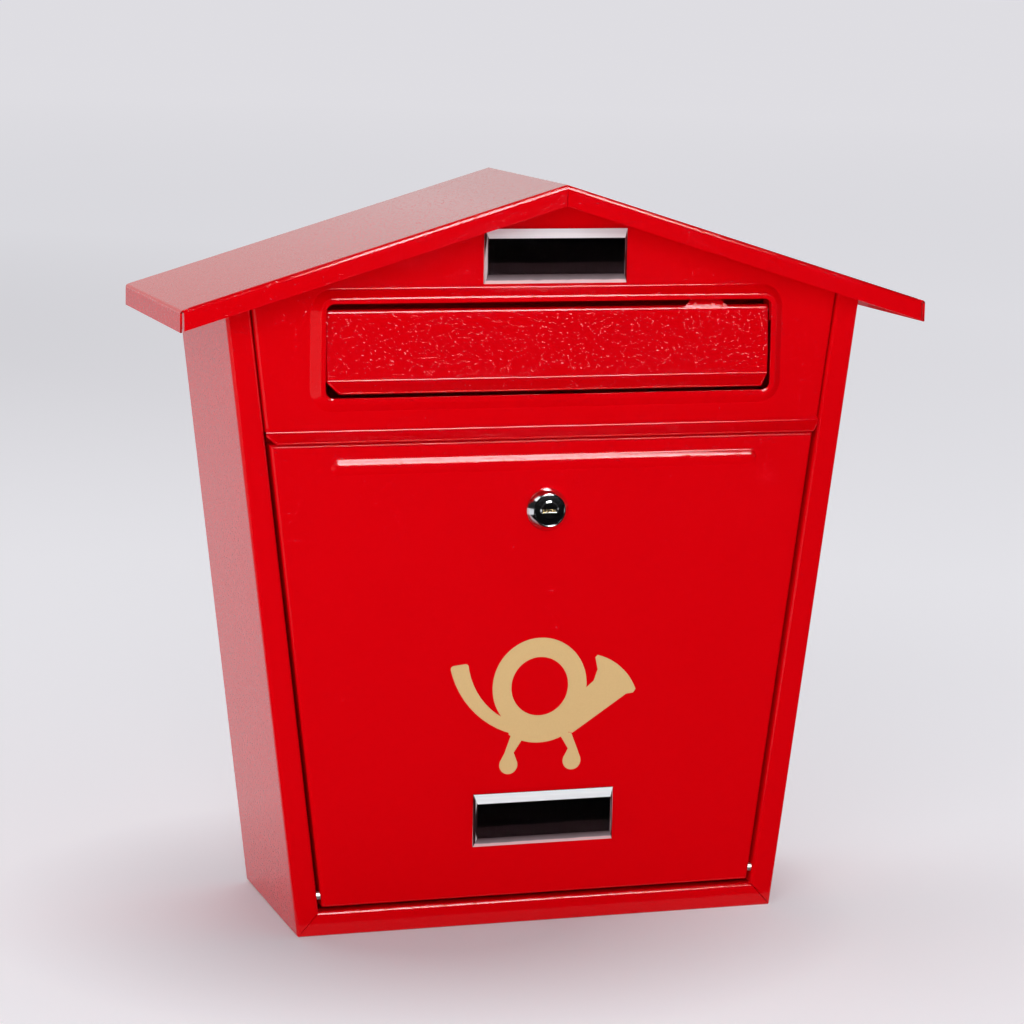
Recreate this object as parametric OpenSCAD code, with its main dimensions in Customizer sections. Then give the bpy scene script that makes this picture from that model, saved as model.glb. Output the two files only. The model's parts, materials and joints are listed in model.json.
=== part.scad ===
// Wall letter box folded from sheet steel, with a gabled roof, a flap in the letter slot
// and a door that drops down behind a cam lock. Millimetres, +Z up, the front faces -Y.
// The origin lies at floor level under the middle of the roof.

/* [Casing] */
// Width over the side walls at the floor
base_w = 244; // [220:1:280]
// Depth of the casing from its front face to its back face
body_d = 105; // [85:1:140]
// Lean of each side wall away from the vertical, in degrees
side_lean = 7; // [2:0.5:9]
// Thickness of every steel sheet
sheet_t = 1; // [0.8:0.1:1.2]
// Inside radius of the folds
fold_r = 0.8; // [0.5:0.1:1.2]
// Width of the front frame beside and below the door
frame_w = 12; // [10:0.5:15]
// Depth of the edge that the front frame turns back
frame_return = 7; // [6:0.5:12]
// Radius of the lower corners of the casing
corner_r = 2; // [1:0.5:4]
// Width of the open seam where two folded edges meet
seam_w = 0.3; // [0.1:0.1:0.6]
// Clearance between two sheets that are welded together
weld_fit = 0.05; // [0.02:0.01:0.2]

/* [Roof] */
// Height of the ridge above the floor
ridge_h = 362.5; // [345:0.5:390]
// Width of the roof over its eaves
roof_w = 370; // [345:1:400]
// Slope of the roof, in degrees
roof_pitch = 17.1; // [14:0.1:19]
// Overhang of the roof in front of the casing
roof_front = 21; // [12:1:35]
// Height of the lip that hangs from the edge of the roof
roof_lip = 10; // [6:0.5:14]

/* [Back] */
// Depth of the edge that the back panel turns forward
back_flange = 10; // [6:1:16]
// Width between the wall screw holes
wall_hole_w = 180; // [140:5:200]
// Height between the wall screw holes
wall_hole_h = 200; // [140:5:220]
// Height of the lower wall screw holes above the floor
wall_hole_z = 60; // [40:5:80]
// Radius of a wall screw hole
wall_hole_r = 3.25; // [2:0.25:4]

/* [Fascia] */
// Drop from the ridge to the fold between the fascia and its drip lip
lip_fold_drop = 117; // [114:0.5:124]
// Drop of the drip lip below its fold
drip_drop = 4.3; // [3:0.1:6]
// Reach of the drip lip in front of the casing
drip_out = 5; // [3:0.1:8]
// Chamfer at each end of the drip lip
drip_chamfer = 4.4; // [2:0.2:6]
// Seam between the fascia and the front frame
fascia_seam = 0.8; // [0.5:0.1:0.9]
// Depth of the edge that the fascia turns back
fascia_flange = 6; // [4:0.5:9]

/* [Letter slot] */
// Width of the letter slot
slot_w = 223.4; // [200:0.2:228]
// Height of the letter slot
slot_h = 44.5; // [40:0.5:46]
// Rise of the slot's lower edge above the fascia's lower fold
slot_rise = 16; // [14:0.5:18]
// Corner radius of the letter slot
slot_r = 4; // [2:0.5:6]
// Flat rim round the letter slot
rim_w = 2.5; // [2:0.1:3]
// Width of the slope outside the rim
ramp_w = 4.2; // [3:0.1:4.5]
// Height of the rim in front of the fascia
rim_out = 3.6; // [2:0.1:4.5]

/* [Flap] */
// Clearance at each end of the flap
flap_side_gap = 0.7; // [0.4:0.1:1.2]
// Clearance over the flap's top edge
flap_top_gap = 3.2; // [2.6:0.1:3.6]
// Height of the fold between the flap's face and its finger lip, above the slot's lower edge
flap_fold_up = 8.2; // [7:0.1:10]
// Drop of the finger lip below its fold
finger_drop = 5.2; // [4:0.1:6]
// Reach of the finger lip in front of its fold
finger_out = 4.8; // [3:0.1:6]
// Chamfer at each end of the finger lip
finger_chamfer = 5.6; // [3:0.2:8]
// Lean of the flap's face, its lower edge forward, in degrees
flap_lean = 4.5; // [2:0.5:6]
// Depth of the flap's turned back top edge and of its ears
flap_ear_d = 8; // [7:0.5:10]
// Distance of the hinge rod below the flap's top
rod_below_top = 3; // [2.8:0.1:4]
// Distance of the hinge rod behind the casing's front face
rod_depth = 4; // [3.4:0.1:5]
// Radius of the hinge rod
rod_r = 1.5; // [1.2:0.1:1.8]
// Running clearance round the hinge rod, measured on the radius
rod_fit = 0.05; // [0.02:0.01:0.1]
// Gap between the flap's ear and its bracket
bracket_gap = 1.3; // [0.8:0.1:2]
// Width of the tongue on the flap's top edge
tongue_w = 23; // [15:1:30]
// Place of the tongue's middle to the right of the flap's middle
tongue_x = 79; // [40:1:85]
// Height of the tongue above the flap's top
tongue_h = 3; // [2:0.1:3.5]
// Lean of the tongue towards the back, in degrees
tongue_lean = 22; // [0:1:35]
// Narrowing of the tongue at each side
tongue_taper = 4; // [0:0.5:6]

/* [Door] */
// Gap between the door and the frame beside and below it
door_gap = 2; // [1.5:0.1:2.5]
// Gap between the door's top edge and the drip lip
door_top_gap = 0.6; // [0.4:0.1:1.5]
// Distance of the door's face behind the casing's front face
door_inset = 0.5; // [0:0.1:1]
// Depth of the door's side flanges
door_flange = 11; // [9:0.5:11.5]
// Depth of the door's top flange
door_top_flange = 11; // [8:0.5:11.5]
// Depth of the door's bottom flange
door_bottom_flange = 6; // [4:0.5:8]
// Height of the hinge pins above the door's bottom edge
pin_up = 5.3; // [5:0.1:8]
// Distance of the hinge pins behind the casing's front face
pin_depth = 4; // [3.8:0.1:5]
// Radius of a hinge pin
pin_r = 2; // [1.5:0.1:2.2]
// Running clearance round a hinge pin, measured on the radius
pin_fit = 0.06; // [0.02:0.01:0.1]
// Radius of a hinge pin's head
pin_head_r = 3.5; // [3:0.1:4]
// Thickness of a hinge pin's head
pin_head_t = 1.2; // [0.8:0.1:2]
// Length of the pressed bead near the door's top
bead_l = 216; // [160:1:224]
// Width of the pressed bead
bead_w = 8; // [6:0.5:10]
// Height of the pressed bead
bead_h = 1.4; // [1:0.1:2]
// Drop from the fascia's lower fold to the bead's middle
bead_drop = 17.5; // [15:0.5:22]

/* [Lock] */
// Drop from the fascia's lower fold to the lock's middle
lock_drop = 40.5; // [35:0.5:50]
// Radius of the bezel where it meets the door
bezel_r = 10.5; // [9.5:0.1:12]
// Height of the bezel in front of the door
bezel_h = 4.6; // [3:0.1:6]
// Radius of the bezel's front edge
bezel_front_r = 8.6; // [8.4:0.1:9.2]
// Radius of the barrel through the door
barrel_r = 8; // [7.5:0.1:8.2]
// Radius of the plug's round head
plug_head_r = 7.4; // [6.8:0.1:7.6]
// Radius of the plug's shank
plug_r = 5.1; // [4.5:0.1:5.6]
// Running clearance round the plug, measured on the radius
plug_fit = 0.06; // [0.02:0.01:0.1]
// Depth of the barrel's back end behind the casing's front face
barrel_back = 14; // [13.4:0.1:16]
// Width of the key slot
key_w = 7.4; // [6:0.1:8]
// Height of the key slot
key_h = 1.7; // [1.2:0.1:2.4]
// Width across the flats of the lock nut
nut_af = 22; // [20:0.5:24]
// Thickness of the lock nut
nut_t = 4; // [3:0.5:6]
// Length of the cam beyond the lock's axis
cam_l = 36; // [34:0.5:38]
// Width of the cam
cam_w = 14; // [12:0.5:15]
// Thickness of the cam
cam_t = 2; // [1.5:0.1:2.5]
// Side of the square that drives the cam
drive_w = 6; // [5:0.1:6.5]
// Radius of the cam screw's head
screw_head_r = 4.2; // [4:0.1:5]
// Gap between the catch rail and the cam behind it
cam_gap = 1; // [0.5:0.1:1.5]
// Length of the catch rail's lower leg below its step
catch_leg = 15; // [12:0.5:16]

/* [Label windows] */
// Width of a label window
label_w = 71.4; // [60:0.2:90]
// Height of a label window
label_h = 26; // [22:0.5:27]
// Thickness of a label window's clear cover
label_t = 2.6; // [2:0.1:3.5]
// Width of the slope along the cover's long edges
label_slope = 4.4; // [3:0.1:5]
// Width of the slope at the cover's ends
label_end = 1.6; // [1:0.1:3]
// Height of the slopes
label_drop = 1.5; // [0.8:0.1:1.8]
// Wall of the cover round its card
label_wall = 1.2; // [0.8:0.1:2]
// Thickness of the card
card_t = 0.7; // [0.4:0.1:0.8]
// Drop from the ridge to the upper window's middle
upper_label_drop = 35.1; // [34.5:0.1:35.5]
// Place of the upper window's middle to the right of the casing's middle
upper_label_x = 1.5; // [-3:0.5:3]
// Height of the lower window's middle above the floor
lower_label_z = 52.8; // [48:0.2:56]
// Place of the lower window's middle to the right of the door's middle
lower_label_x = 1; // [-10:0.5:10]

/* [Horn emblem] */
// Outer radius of the horn's ring
horn_r = 24; // [18:0.5:26]
// Radius of the opening in the horn's ring
horn_hole_r = 14.5; // [10:0.5:16]
// Width that the full curve adds under the ring
horn_belly = 4; // [3:0.5:5]
// Height of the ring's middle above the floor
horn_z = 118; // [110:1:125]
// Place of the ring's middle to the left of the door's middle
horn_left = 1.8; // [0:0.1:4]
// Thickness of the emblem's foil
foil_t = 0.2; // [0.1:0.05:0.4]

/* [Hidden] */
$fn = 48;
// Steps in each rounded fold of a section
fold_steps = 5;
// Overlap that fuses the stretches of one sheet
fuse = 0.2;
// Length that reaches past everything it cuts
far = 600;
red = "#d00010";
front_y = -(body_d + roof_front) / 2 + roof_front;
lean_t = tan(side_lean);
pitch_t = tan(roof_pitch);
roof_d = body_d + roof_front;
// Heights that hang from the ridge
lip_fold_z = ridge_h - lip_fold_drop;
slot_z = lip_fold_z + slot_rise;
bead_z = lip_fold_z - bead_drop;
lock_z = lip_fold_z - lock_drop;
upper_label_z = ridge_h - upper_label_drop;
// Height of the roof's upper face at its eaves
eave_z = ridge_h - pitch_t * roof_w / 2;
// Height of the roof's underside over the middle of the casing
under_ridge = ridge_h - sheet_t / cos(roof_pitch) - weld_fit;
// Width of the fold zone round a folded edge
fold_band = fold_r + sheet_t + fuse;
slot_top = slot_z + slot_h;
slot_mid = slot_z + slot_h / 2;
// Distance from the slot's edge to the outer end of its pressed surround
surround_w = rim_w + ramp_w + fold_band;
flap_w = slot_w - 2 * flap_side_gap;
flap_top = slot_top - flap_top_gap;
flap_fold = slot_z + flap_fold_up;
flap_fold_out = rim_out - 1;
flap_top_out = flap_fold_out - (flap_top - flap_fold) * tan(flap_lean);
rod_z = flap_top - rod_below_top;
// Distance of an ear's lower edge below the rod's axis, and radius of its lower corner
ear_low = rod_r + rod_fit + 2.35;
ear_corner = 2.9;
bracket_x = flap_w / 2 + bracket_gap;
// Width and height of a bracket's welded foot
bracket_foot = [12, 6];
// Sheet of a bracket below and behind the rod's axis
bracket_edge = 5;
// Height at which a bracket's foot clears the slot's surround
bracket_foot_z = slot_top + rim_w + ramp_w + fold_band;
bracket_top = bracket_foot_z + bracket_foot.y;
bracket_low = rod_z - bracket_edge;
bracket_back = rod_depth + bracket_edge;
// Radius and thickness of a ring on the rod, and length of the rod beyond it
ring_r = 3.2;
ring_t = 0.8;
rod_end = 2.2;
lip_len = norm([drip_drop, drip_out]);
// Lowest point of the drip lip, at the underside of its edge
lip_low = lip_fold_z - drip_drop - sheet_t * drip_out / lip_len;
door_low = frame_w + door_gap;
door_top = lip_low - door_top_gap;
pin_z = door_low + pin_up;
// Outer faces of the frame's and the door's side flanges at the height of the hinge pins
frame_inner_x = half_w(pin_z) - frame_w / cos(side_lean);
door_side_x = frame_inner_x - door_gap / cos(side_lean);
// Length of a hinge pin's shank inside the door, and reach of its holes beyond the frame's flange
pin_tail = 4;
pin_over = 1.5;
flange_lean = pin_head_r * lean_t;
cam_front = barrel_back + 0.3;
catch_back = cam_front - cam_gap;
// Height of the catch rail's step, and of its top edge below the slot's surround
catch_step_z = lip_fold_z + 1.5;
catch_top = slot_z - rim_w - ramp_w - 1.2;
// Height of the bezel's straight edge, and its rounded front edge as [width, height]
bezel_edge = 0.8;
bezel_round = [0.4, 0.2];
// Chamfer round the mouth of the bezel, and gap behind the head of the plug
mouth_chamfer = 0.4;
seat_gap = 0.1;
// Height of the plug's face in front of the door, and thickness of its head
plug_front = bezel_h - 0.5;
plug_head_t = 2;
// Dish round the key slot: radius at the plug's face, width of its slope and depth
dish_r = 4.6;
dish_slope = 1;
dish_d = 0.6;
key_deep = 11;
cam_round = 2;
thread_r = 1.5;
screw_head_t = 2.4;
screw_l = 7;
// Width and depth of the slot across the cam screw's head
screw_slot = [1, 0.8];
// Rounding of the mouthpipe's tip, and radius of a tassel's drop
pipe_round = horn_r / 15;
tassel_r = 0.192 * horn_r;
card_w = label_w - 2 * label_wall - 2 * weld_fit;
card_h = label_h - 2 * label_wall - 2 * weld_fit;

// Half the width over the side walls at height z
function half_w(z) = base_w / 2 + lean_t * z;
function unit(v) = v / norm(v);
function left_of(v) = [-v.y, v.x];

// Points of the arc of radius r that rounds corner p between the points a and b
function corner_arc(a, p, b, r, steps = fold_steps) =
    let (u = unit(a - p), w = unit(b - p), half = acos(u * w) / 2,
         c = p + unit(u + w) * r / sin(half),
         s = p + u * r / tan(half) - c, e = p + w * r / tan(half) - c,
         turn = atan2(cross(s, e), s * e))
    [for (i = [0 : steps]) let (k = turn * i / steps)
        c + [s.x * cos(k) - s.y * sin(k), s.x * sin(k) + s.y * cos(k)]];

// Points of an arc from a to b that bows out by h to the right of the way from a to b
function bow(a, b, h, steps = 12) =
    let (chord = norm(b - a), r = (chord * chord / 4 + h * h) / (2 * h),
         c = (a + b) / 2 + left_of(unit(b - a)) * (r - h),
         s = a - c, sweep = 2 * asin(chord / 2 / r))
    [for (i = [0 : steps]) let (k = sweep * i / steps)
        c + [s.x * cos(k) - s.y * sin(k), s.x * sin(k) + s.y * cos(k)]];

// Corner i of an open path, moved by t to the left of the path
function shifted(path, i, t) =
    let (n = len(path),
         d0 = unit(i > 0 ? path[i] - path[i - 1] : path[1] - path[0]),
         d1 = i < n - 1 ? unit(path[i + 1] - path[i]) : d0,
         l0 = left_of(d0), l1 = left_of(d1))
    path[i] + (l0 + l1) * t / (1 + l0 * l1);

// True where an open path turns to the left at corner i
function turns_left(path, i) =
    i > 0 && i < len(path) - 1 && cross(path[i] - path[i - 1], path[i + 1] - path[i]) > 0;

// Corner i of a sheet's side: an end stays sharp, a fold is rounded
function fold_corner(side, i, r) =
    i == 0 || i == len(side) - 1 ? [side[i]] : corner_arc(side[i - 1], side[i], side[i + 1], r);

// Section of a sheet whose face follows path and whose thickness lies to its left
function sheet_section(path, t = sheet_t, r = fold_r) =
    let (n = len(path), inner = [for (i = [0 : n - 1]) shifted(path, i, t)])
    concat(
        [for (i = [0 : n - 1]) each fold_corner(path, i, turns_left(path, i) ? r + t : r)],
        [for (i = [n - 1 : -1 : 0]) let (pts = fold_corner(inner, i, turns_left(path, i) ? r : r + t))
            each [for (k = [len(pts) - 1 : -1 : 0]) pts[k]]]
    );

// Closed anticlockwise outline moved inward by d
function inset(outline, d) =
    let (n = len(outline))
    [for (i = [0 : n - 1])
        let (l0 = left_of(unit(outline[i] - outline[(i + n - 1) % n])),
             l1 = left_of(unit(outline[(i + 1) % n] - outline[i])))
        outline[i] + (l0 + l1) * d / (1 + l0 * l1)];

// Outline of the flat middle of a folded sheet: it ends between the folds' arcs and their flat
// stretches' ends, and its cut corners stay off the mitres
function flat_outline(outline) =
    let (p = inset(outline, fold_band - fuse / 2), n = len(p))
    [for (i = [0 : n - 1]) each corner_arc(p[(i + n - 1) % n], p[i], p[(i + 1) % n], fuse / 2, 1)];

// Outline seen from the front between the side walls, from height low up to height high
function walls_outline(low, high, in) =
    let (shift = in / cos(side_lean))
    [[-half_w(low) + shift, low], [half_w(low) - shift, low],
     [half_w(high) - shift, high], [-half_w(high) + shift, high]];

// Outline seen from the front up to the roof, from height low, moved in from the side walls
function gable_outline(low, in) =
    let (shift = in / cos(side_lean),
         x0 = half_w(low) - shift,
         top = (under_ridge - pitch_t * (base_w / 2 - shift)) / (1 + pitch_t * lean_t),
         x1 = half_w(top) - shift)
    [[-x0, low], [x0, low], [x1, top], [0, under_ridge], [-x1, top]];

// Stands a front view up: drawn in X and Y with +Z towards the viewer, depth behind the front face
module front_view(depth = 0) {
    translate([0, front_y + depth, 0]) rotate([90, 0, 0]) children();
}

// Sheet folded along the edge from a to b of an anticlockwise outline; path is [inward, forward]
module edge_fold(a, b, path) {
    d = b - a;
    translate((a + b) / 2) rotate([0, 0, atan2(d.y, d.x)])
        rotate([90, 0, 90]) linear_extrude(norm(d), center = true) polygon(sheet_section(path));
}

// The part of a fold of this width between the mitres at both ends of edge i, with open seams there
module mitred(outline, i, width, open = seam_w) {
    next = (i + 1) % len(outline);
    outer = inset(outline, -fuse);
    inner = inset(outline, width + fuse);
    seam = unit(outline[next] - outline[i]) * open / 2;
    intersection() {
        linear_extrude(far, center = true)
            polygon([outer[i] + seam, outer[next] - seam, inner[next] - seam, inner[i] + seam]);
        children();
    }
}

// Flat sheet with this outline whose edge i is turned back by flanges[i]
module pan(outline, flanges) {
    n = len(outline);
    translate([0, 0, -sheet_t]) linear_extrude(sheet_t) polygon(flat_outline(outline));
    for (i = [0 : n - 1]) mitred(outline, i, fold_band)
        edge_fold(outline[i], outline[(i + 1) % n],
            flanges[i] > 0 ? [[fold_band, 0], [0, 0], [0, -flanges[i]]] : [[fold_band, 0], [0, 0]]);
}

// Rounded rectangle about its own middle
module rounded_rectangle(w, h, r) {
    square([w - 2 * r, h], center = true);
    square([w, h - 2 * r], center = true);
    for (sx = [-1, 1], sy = [-1, 1]) translate([sx * (w / 2 - r), sy * (h / 2 - r)]) circle(r);
}

// Wrapper of side walls, floor and front frame, mitred at the lower front corners
module body_shell() {
    outline = gable_outline(0, 0);
    low = [outline[0], outline[1]];
    clip = [
        each corner_arc(outline[4], low[0], low[1], corner_r),
        each corner_arc(low[0], low[1], outline[2], corner_r),
        outline[2], outline[3], outline[4]
    ];
    path = [[frame_w, -frame_return], [frame_w, 0], [0, 0], [0, -body_d]];
    // The sides run on past the roof line before they are cut to it
    tall = walls_outline(0, ridge_h, 0);
    color(red) front_view() difference() {
        intersection() {
            translate([0, 0, -body_d]) linear_extrude(body_d) polygon(clip);
            union() for (i = [0, 1, 3])
                mitred(tall, i, frame_w, 0) edge_fold(tall[i], tall[(i + 1) % 4], path);
        }
        mitre_seams(outline);
        pin_holes(pin_r);
    }
}

// Open seams through the front frame from its inner corners to near the outer ones
module mitre_seams(outline) {
    corner = inset(outline, frame_w);
    for (i = [0, 1]) {
        run = outline[i] - corner[i];
        translate(corner[i]) rotate([0, 0, atan2(run.y, run.x)])
            translate([-fuse, -seam_w / 2, -sheet_t - fold_r])
                cube([norm(run) - corner_r, seam_w, 2 * sheet_t + fold_r]);
    }
}

// Puts the axis of the door's hinge pins along X in a front view
module pin_axis() {
    translate([0, pin_z, -pin_depth]) rotate([0, 90, 0]) children();
}

// Holes for both hinge pins through the frame's and the door's side flanges, clear of the side walls
module pin_holes(r) {
    inner = door_side_x - pin_tail;
    for (side = [0, 1]) mirror([side, 0, 0]) pin_axis()
        translate([0, 0, inner]) cylinder(r = r, h = frame_inner_x + sheet_t + pin_over - inner);
}

// Back sheet with its edges turned forward against the floor, the walls and the roof
module back_panel() {
    outline = gable_outline(sheet_t + weld_fit, sheet_t + weld_fit);
    color(red) front_view(body_d) difference() {
        mirror([0, 0, 1]) pan(outline, [for (p = outline) back_flange]);
        for (sx = [-1, 1], z = [wall_hole_z, wall_hole_z + wall_hole_h])
            translate([sx * wall_hole_w / 2, z, 0]) cylinder(r = wall_hole_r, h = far, center = true);
    }
}

// Folded roof: two slopes with a lip at the front, and a lip along each eave
module roof() {
    color(red) difference() {
        union() for (side = [0, 1]) mirror([side, 0, 0]) roof_half();
        // Seams in the front lip: under the ridge, and beside the lips of both eaves
        for (x = (roof_w / 2 - sheet_t - fold_r) * [-1, 0, 1])
            translate([x - seam_w / 2, -roof_d / 2 - fold_band,
                       ridge_h - pitch_t * abs(x) - roof_lip - fold_band])
                cube([seam_w, 2 * fold_band, roof_lip]);
    }
}

// Left half of the roof
module roof_half() {
    slope_l = roof_w / 2 / cos(roof_pitch);
    lip = roof_lip * cos(roof_pitch);
    eave = -roof_w / 2 + sheet_t + fold_r;
    intersection() {
        // Slope with its front lip: the section is [back from the front edge, up from the slope]
        translate([-roof_w / 2, -roof_d / 2, eave_z]) rotate([0, -roof_pitch, 0])
            rotate([90, 0, 90]) translate([0, 0, -roof_lip]) linear_extrude(slope_l + 2 * roof_lip)
                polygon(sheet_section([[roof_d, 0], [0, 0], [0, -lip]]));
        rotate([90, 0, 0]) linear_extrude(2 * roof_d, center = true)
            polygon([[eave, 0], [0, 0], [0, far], [eave, far]]);
    }
    // Eave lip: the section is seen from the front
    rotate([90, 0, 0]) linear_extrude(roof_d, center = true)
        polygon(sheet_section([
            [eave + fold_band, eave_z + (sheet_t + fold_r + fold_band) * pitch_t],
            [-roof_w / 2, eave_z], [-roof_w / 2, eave_z - roof_lip]
        ]));
}

// Upper front sheet with the pressed surround of the slot and the drip lip over the door
module fascia() {
    outline = gable_outline(lip_fold_z, frame_w + fascia_seam);
    color(red) front_view() {
        difference() {
            union() {
                pan_edges(outline, [1, 2, 3, 4], fascia_flange);
                translate([0, 0, -sheet_t]) linear_extrude(sheet_t) polygon(flat_outline(outline));
            }
            translate([0, slot_mid, 0]) linear_extrude(far, center = true)
                rounded_rectangle(slot_w + 2 * (surround_w - fuse), slot_h + 2 * (surround_w - fuse),
                                  slot_r + surround_w - fuse);
        }
        drip_lip(outline);
        slot_surround();
    }
}

// Chosen edges of a pan, turned back by one depth
module pan_edges(outline, edges, depth) {
    n = len(outline);
    for (i = edges) mitred(outline, i, fold_band)
        edge_fold(outline[i], outline[(i + 1) % n], [[fold_band, 0], [0, 0], [0, -depth]]);
}

// Lip folded forward and down along the fascia's lower edge, chamfered at both ends
module drip_lip(outline) {
    w = outline[1].x;
    intersection() {
        edge_fold([-w - 1, lip_fold_z], [w + 1, lip_fold_z],
                  [[fold_band, 0], [0, 0], [-drip_drop, drip_out]]);
        lip_plan(w, drip_out, drip_chamfer);
    }
}

// Plan of a lip that reaches forward by out, with its front corners cut off
module lip_plan(half_width, out, chamfer) {
    cut = chamfer + sheet_t;
    rotate([90, 0, 0]) linear_extrude(2 * far, center = true)
        polygon([[-half_width, -far], [half_width, -far], [half_width, out - chamfer],
                 [half_width - cut, out + sheet_t], [-half_width + cut, out + sheet_t],
                 [-half_width, out - chamfer]]);
}

// Rim and slope pressed forward round the letter slot
module slot_surround() {
    path = [[surround_w, 0], [rim_w + ramp_w, 0], [rim_w, rim_out], [0, rim_out]];
    corner = [slot_w / 2 - slot_r, slot_h / 2 - slot_r];
    translate([0, slot_mid, 0]) for (turn = [0 : 3]) {
        across = turn % 2 == 0 ? corner : [corner.y, corner.x];
        edge = turn % 2 == 0 ? slot_h / 2 : slot_w / 2;
        rotate([0, 0, 90 * turn]) {
            edge_fold([-across.x, edge], [across.x, edge], path);
            translate([across.x, edge - slot_r, 0]) rotate_extrude(angle = 90)
                translate([slot_r, 0]) polygon(sheet_section(path));
        }
    }
}

// Rail welded behind the fascia: the door stops against it and the cam turns in behind it
module catch_rail() {
    w = half_w(catch_step_z - catch_leg) - (frame_w + fascia_seam + sheet_t) / cos(side_lean) - weld_fit;
    color("#b00010") front_view() rotate([90, 0, 90])
        linear_extrude(2 * w, center = true)
            polygon(sheet_section([[catch_top, -sheet_t - weld_fit], [catch_step_z, -sheet_t - weld_fit],
                                   [catch_step_z, -catch_back + sheet_t],
                                   [catch_step_z - catch_leg, -catch_back + sheet_t]]));
}

// Left bracket: a foot welded behind the fascia and a leg that holds the hinge rod
module flap_bracket() {
    back = sheet_t + weld_fit;
    color("#b00010") front_view() difference() {
        union() {
            translate([-bracket_x - sheet_t, bracket_low, -bracket_back])
                cube([sheet_t, bracket_top - bracket_low, bracket_back - back]);
            translate([-bracket_x - bracket_foot.x, bracket_foot_z, -back - sheet_t])
                cube([bracket_foot.x, bracket_foot.y, sheet_t]);
        }
        rod_axis() cylinder(r = rod_r, h = far, center = true);
    }
}

module flap_bracket_left() { flap_bracket(); }
module flap_bracket_right() { mirror([1, 0, 0]) flap_bracket(); }

// Puts the axis of the flap's hinge rod along X in a front view
module rod_axis() {
    translate([0, rod_z, -rod_depth]) rotate([0, 90, 0]) children();
}

module flap_hinge_rod() {
    color("silver") front_view() rod_axis()
        cylinder(r = rod_r, h = 2 * (bracket_x + sheet_t + ring_t + rod_end), center = true);
}

// Ring pressed onto the left end of the hinge rod, outside its bracket
module rod_ring() {
    color("silver") front_view() rod_axis()
        translate([0, 0, -bracket_x - sheet_t - weld_fit - ring_t]) difference() {
            cylinder(r = ring_r, h = ring_t);
            cylinder(r = rod_r, h = far, center = true);
        }
}

module rod_ring_left() { rod_ring(); }
module rod_ring_right() { mirror([1, 0, 0]) rod_ring(); }

// Left hinge pin: its head lies inside the front frame and its shank carries the door
module door_pin() {
    head_x = frame_inner_x + sheet_t / cos(side_lean) + flange_lean;
    color("silver") front_view() pin_axis() mirror([0, 0, 1]) {
        translate([0, 0, door_side_x - pin_tail]) cylinder(r = pin_r, h = head_x - door_side_x + pin_tail);
        translate([0, 0, head_x]) cylinder(r = pin_head_r, h = pin_head_t);
    }
}

module door_pin_left() { door_pin(); }
module door_pin_right() { mirror([1, 0, 0]) door_pin(); }

// Clear cover with sloped edges and a pocket for its card, in a front view
module label_cover(x, z, depth) {
    color("#e8eef0", 0.4) front_view(depth) translate([x, z, 0]) difference() {
        intersection() {
            rotate([90, 0, 90]) linear_extrude(label_w, center = true)
                polygon(label_section(label_h, label_slope));
            rotate([90, 0, 0]) linear_extrude(label_h, center = true)
                polygon(label_section(label_w, label_end));
        }
        translate([0, 0, -fuse]) linear_extrude(card_t + weld_fit + fuse)
            square([card_w + 2 * weld_fit, card_h + 2 * weld_fit], center = true);
    }
}

// Section across a cover of width w whose edges slope down over the width s
function label_section(w, s) = [
    [-w / 2, 0], [w / 2, 0], [w / 2, label_t - label_drop], [w / 2 - s, label_t],
    [-w / 2 + s, label_t], [-w / 2, label_t - label_drop]
];

module label_card(x, z, depth) {
    color("#101010") front_view(depth) translate([x, z, 0]) linear_extrude(card_t)
        square([card_w, card_h], center = true);
}

module upper_label_cover() { label_cover(upper_label_x, upper_label_z, 0); }
module upper_label_card() { label_card(upper_label_x, upper_label_z, 0); }
module lower_label_cover() { label_cover(lower_label_x, lower_label_z, door_inset); }
module lower_label_card() { label_card(lower_label_x, lower_label_z, door_inset); }

// Flap: one sheet with a turned back top, two ears, a finger lip and a tongue
module flap() {
    path = [[flap_top, flap_top_out - flap_ear_d], [flap_top, flap_top_out],
            [flap_fold, flap_fold_out], [flap_fold - finger_drop, flap_fold_out + finger_out]];
    color(red) front_view() difference() {
        union() {
            intersection() {
                rotate([90, 0, 90]) linear_extrude(flap_w, center = true) polygon(sheet_section(path));
                lip_plan(flap_w / 2, flap_fold_out + finger_out, finger_chamfer);
            }
            for (side = [0, 1]) mirror([side, 0, 0])
                translate([-flap_w / 2, 0, 0]) rotate([90, 0, 90]) linear_extrude(sheet_t) flap_ear();
            flap_tongue();
        }
        rod_axis() cylinder(r = rod_r + rod_fit, h = far, center = true);
    }
}

// Ear at the end of the flap, seen along the rod: [up, forward]
module flap_ear() {
    back = flap_top_out - flap_ear_d;
    top = flap_top - sheet_t / 2;
    low = rod_z - ear_low;
    face = flap_top_out + (flap_top - low) * tan(flap_lean) - sheet_t / 2;
    polygon([[top, back], [top, flap_top_out - sheet_t / 2], [low, face],
             each corner_arc([low, face], [low, back], [top, back], ear_corner)]);
}

// Tongue that leans back from the flap's top edge, narrower at its top
module flap_tongue() {
    rise = tongue_h / cos(tongue_lean) + sheet_t;
    top_w = tongue_w - 2 * tongue_taper;
    translate([tongue_x, flap_top - sheet_t, flap_top_out]) rotate([-tongue_lean, 0, 0])
        translate([0, 0, -sheet_t]) linear_extrude(sheet_t)
            polygon([[-tongue_w / 2, 0], [tongue_w / 2, 0], [top_w / 2, rise], [-top_w / 2, rise]]);
}

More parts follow.
